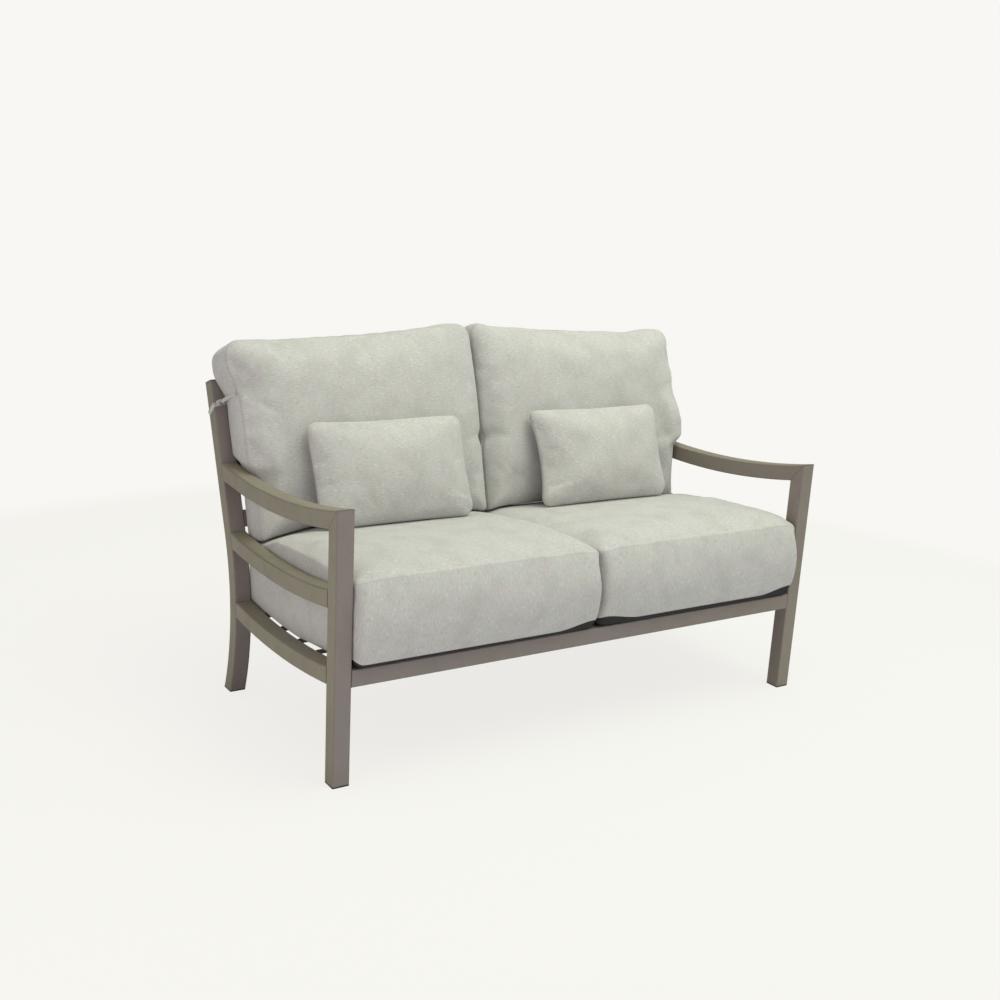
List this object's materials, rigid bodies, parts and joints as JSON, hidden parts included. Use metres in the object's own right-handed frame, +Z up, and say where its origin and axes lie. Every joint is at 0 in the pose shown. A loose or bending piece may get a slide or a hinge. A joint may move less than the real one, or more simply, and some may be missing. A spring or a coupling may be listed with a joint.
{
  "type": "loveseat",
  "caption": "Two-seat loveseat: bent square-tube metal frame with sagging side rails, webbing seat, and loose seat, back and lumbar cushions.",
  "frame": {"origin": "on the floor at the middle of the whole loveseat's width and depth", "axes": "+X towards the right end of the seat as its front is seen, +Y towards the back, +Z up; the front faces -Y"},
  "size_m": [1.3532, 0.7736, 0.8918],
  "materials": {
    "frame_paint": "satin",
    "cushion_cloth": "matte",
    "webbing": "matte",
    "glide_plastic": "matte"
  },
  "bodies": {
    "frame": {"left_front_post": "frame_paint", "right_front_post": "frame_paint", "left_back_post": "frame_paint", "right_back_post": "frame_paint", "left_arm_rail": "frame_paint", "right_arm_rail": "frame_paint", "left_middle_rail": "frame_paint", "right_middle_rail": "frame_paint", "left_lower_rail": "frame_paint", "right_lower_rail": "frame_paint", "front_seat_rail": "frame_paint", "rear_seat_rail": "frame_paint", "seat_centre_bar": "frame_paint", "back_lower_rail": "frame_paint", "back_top_rail": "frame_paint", "back_centre_bar": "frame_paint", "seat_strap_1": "webbing", "seat_strap_2": "webbing", "seat_strap_3": "webbing", "seat_strap_4": "webbing", "seat_strap_5": "webbing", "back_strap_1": "webbing", "back_strap_2": "webbing", "back_strap_3": "webbing", "back_strap_4": "webbing", "left_front_glide": "glide_plastic", "right_front_glide": "glide_plastic", "left_back_glide": "glide_plastic", "right_back_glide": "glide_plastic", "left_post_cap": "frame_paint", "right_post_cap": "frame_paint", "left_tie": "cushion_cloth", "right_tie": "cushion_cloth"},
    "left_seat": {"left_seat_cushion": "cushion_cloth"},
    "right_seat": {"right_seat_cushion": "cushion_cloth"},
    "left_back": {"left_back_cushion": "cushion_cloth"},
    "right_back": {"right_back_cushion": "cushion_cloth"},
    "left_pillow": {"left_pillow": "cushion_cloth"},
    "right_pillow": {"right_pillow": "cushion_cloth"}
  },
  "joints": [
    {"name": "left_seat_lift", "type": "slide", "parent": "frame", "child": "left_seat", "axis": [0, 0, 1], "range_m": [0, 0.42]},
    {"name": "left_back_lift", "type": "slide", "parent": "left_seat", "child": "left_back", "axis": [0, 0.3305, 0.9438], "range_m": [0, 0.42]},
    {"name": "left_pillow_lift", "type": "slide", "parent": "left_seat", "child": "left_pillow", "axis": [0, 0, 1], "range_m": [0, 0.46]},
    {"name": "right_seat_lift", "type": "slide", "parent": "frame", "child": "right_seat", "axis": [0, 0, 1], "range_m": [0, 0.42]},
    {"name": "right_back_lift", "type": "slide", "parent": "right_seat", "child": "right_back", "axis": [0, 0.3305, 0.9438], "range_m": [0, 0.42]},
    {"name": "right_pillow_lift", "type": "slide", "parent": "right_seat", "child": "right_pillow", "axis": [0, 0, 1], "range_m": [0, 0.46]}
  ]
}
